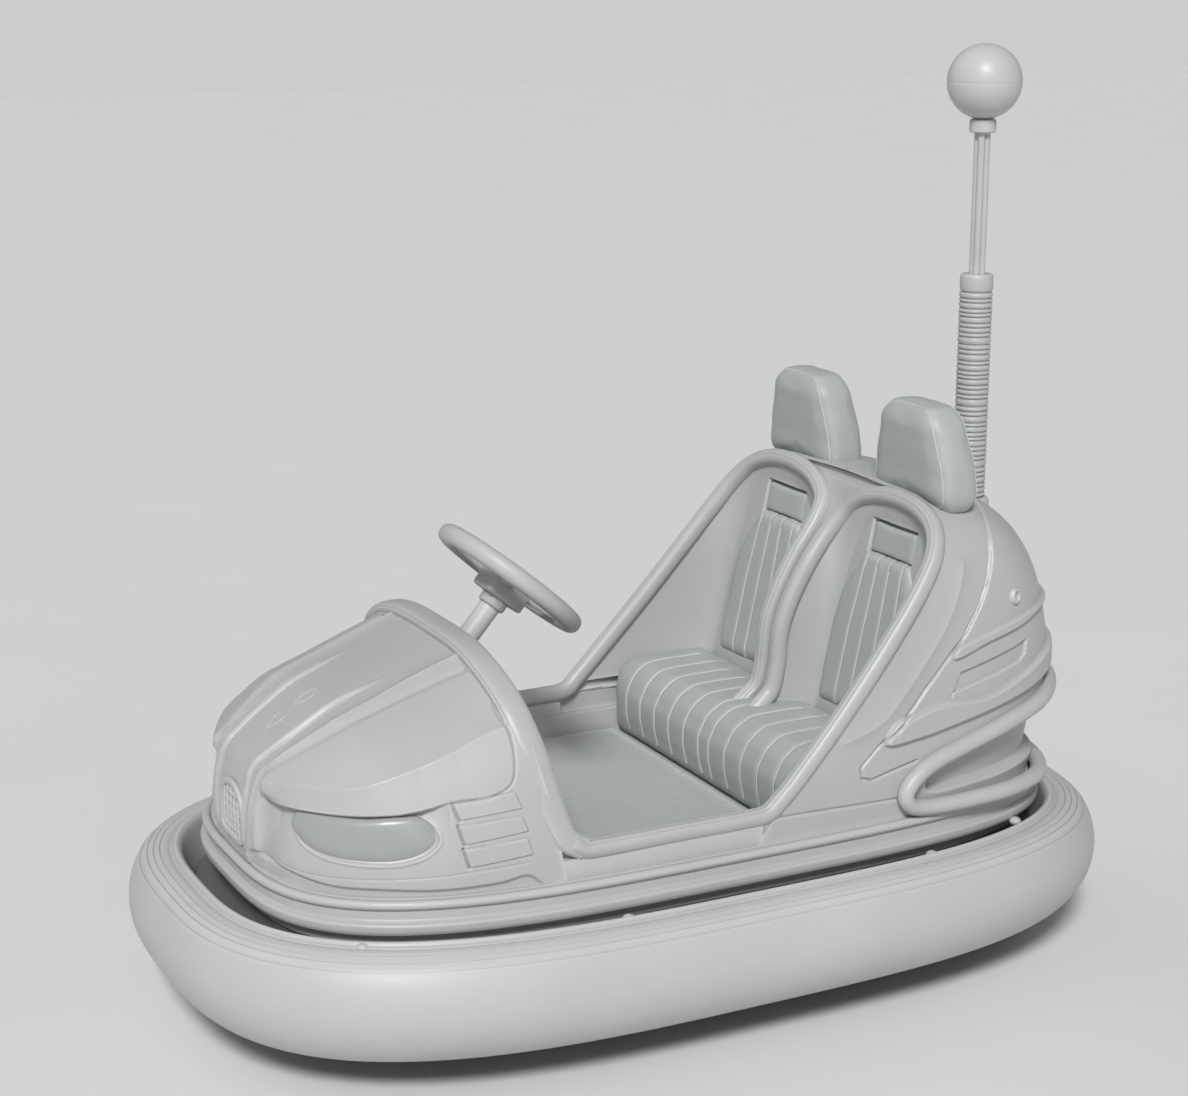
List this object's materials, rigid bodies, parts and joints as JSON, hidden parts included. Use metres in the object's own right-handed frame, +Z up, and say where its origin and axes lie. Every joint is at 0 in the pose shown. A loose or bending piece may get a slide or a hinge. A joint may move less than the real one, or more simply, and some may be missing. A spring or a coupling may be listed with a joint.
{
  "type": "bumper car",
  "caption": "Fairground electric bumper car with an oval rubber bumper ring, hollow moulded body, two-seat bench, steering wheel, swivelling drive wheel and a ball-topped rear mast.",
  "frame": {"origin": "on the floor, under the middle of the bumper ring", "axes": "+Z up, -Y towards the nose, +X towards the left side of the car"},
  "size_m": [1.2086, 1.9466, 1.7785],
  "materials": {
    "body_shell": "satin moulded shell",
    "black_rubber": "smooth pale rubber",
    "dark_steel": "satin paint",
    "floor_rubber": "ribbed rubber",
    "bright_trim": "satin",
    "lamp_lens": "smooth",
    "wheel_grip": "smooth",
    "seat_cover": "smooth cover with piping",
    "mast_steel": "satin",
    "ball_shell": "satin",
    "tyre_rubber": "solid tyre"
  },
  "bodies": {
    "car": {"bumper_tube": "black_rubber", "bumper_rail": "dark_steel", "chassis_frame": "dark_steel", "body_skirt": "dark_steel", "cowl_hoop": "body_shell", "side_trim_left": "body_shell", "side_trim_right": "body_shell", "lower_body": "body_shell", "body_bead": "body_shell", "floor_pan": "body_shell", "floor_mat": "floor_rubber", "front_hood": "body_shell", "grille": "bright_trim", "headlight_left": "lamp_lens", "headlight_right": "lamp_lens", "steering_column": "dark_steel", "dashboard": "body_shell", "accelerator_pedal": "dark_steel", "rear_body": "body_shell", "seat_shell": "body_shell", "seat_cushion": "seat_cover", "backrest_pad_left": "seat_cover", "upper_pad_left": "seat_cover", "backrest_pad_right": "seat_cover", "upper_pad_right": "seat_cover", "headrest_left": "seat_cover", "headrest_right": "seat_cover", "rear_trim_loop": "body_shell", "mast_socket": "dark_steel", "mast_spring": "mast_steel", "mast_cap": "mast_steel", "mast_rods": "mast_steel", "ball_collar": "mast_steel", "mast_ball": "ball_shell", "drive_turntable": "dark_steel", "rear_axle_beam": "dark_steel"},
    "steering": {"steering_wheel": "wheel_grip"},
    "drive_swivel": {"drive_fork": "dark_steel", "drive_motor": "dark_steel"},
    "drive_wheel": {"drive_hub": "dark_steel", "drive_tyre": "tyre_rubber"},
    "rear_wheel_left": {"rear_hub_left": "dark_steel", "rear_tyre_left": "tyre_rubber"},
    "rear_wheel_right": {"rear_hub_right": "dark_steel", "rear_tyre_right": "tyre_rubber"}
  },
  "joints": [
    {"name": "drive_steer", "type": "hinge", "parent": "car", "child": "drive_swivel", "pos_m": [0, -0.39, 0.236], "axis": [0, 0, 1], "continuous": true},
    {"name": "steering_turn", "type": "hinge", "parent": "car", "child": "steering", "pos_m": [0, -0.243, 0.796], "axis": [0, 0.655, 0.7556], "continuous": true},
    {"name": "drive_wheel_spin", "type": "hinge", "parent": "drive_swivel", "child": "drive_wheel", "pos_m": [0, -0.39, 0.105], "axis": [1, 0, 0], "continuous": true},
    {"name": "rear_left_spin", "type": "hinge", "parent": "car", "child": "rear_wheel_left", "pos_m": [0.225, 0.52, 0.09], "axis": [1, 0, 0], "continuous": true},
    {"name": "rear_right_spin", "type": "hinge", "parent": "car", "child": "rear_wheel_right", "pos_m": [-0.225, 0.52, 0.09], "axis": [1, 0, 0], "continuous": true}
  ],
  "couplings": [
    {"joint": "steering_turn", "follows": "drive_steer", "ratio": 1}
  ]
}
